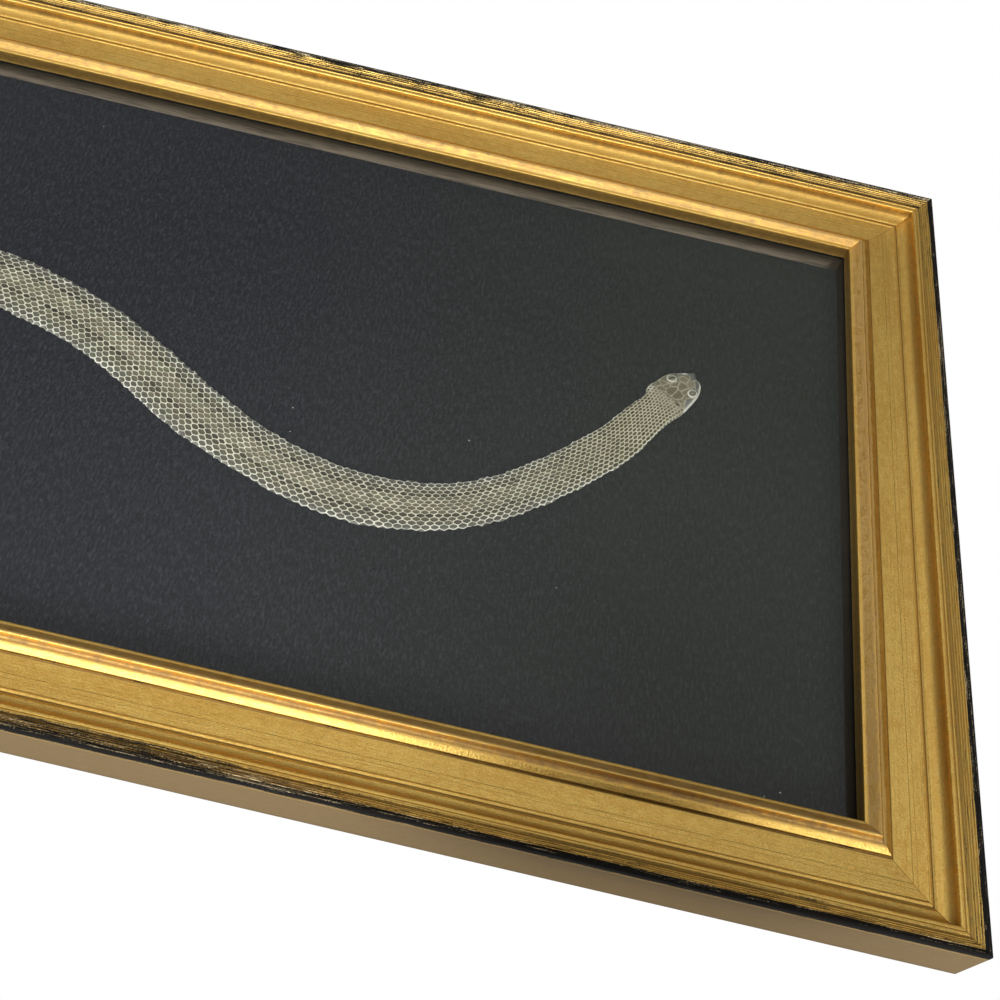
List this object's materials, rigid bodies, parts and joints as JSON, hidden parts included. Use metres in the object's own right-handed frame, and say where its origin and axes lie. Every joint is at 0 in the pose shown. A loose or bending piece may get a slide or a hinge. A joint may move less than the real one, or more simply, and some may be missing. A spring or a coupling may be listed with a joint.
{
  "type": "framed shed snake skin",
  "caption": "Whole shed skin of a snake laid in curves on black paper behind glass, in a long shallow gilt moulded frame with spacer strips, lying on its back.",
  "frame": {"origin": "middle of the frame's back, in the plane it rests on", "axes": "+X runs along the long rails towards the snake's head, +Y runs across the picture towards its upper rail, +Z points out of the picture through the glass"},
  "size_m": [1.3334, 0.5204, 0.0392],
  "materials": {
    "gilt": "carved wood moulding with worn metal leaf over red clay, black in the outer reeds",
    "glass": "clear flat picture glass",
    "spacer": "thin dark-stained wood strip",
    "board": "board faced with matte black fibrous paper",
    "skin": "thin dry translucent keratin with netted scales"
  },
  "bodies": {
    "root": {"rail_bottom": "gilt", "rail_right": "gilt", "rail_top": "gilt", "rail_left": "gilt", "glass": "glass", "spacer_top": "spacer", "spacer_bottom": "spacer", "spacer_left": "spacer", "spacer_right": "spacer", "backing_board": "board", "shed_skin": "skin"}
  },
  "joints": []
}
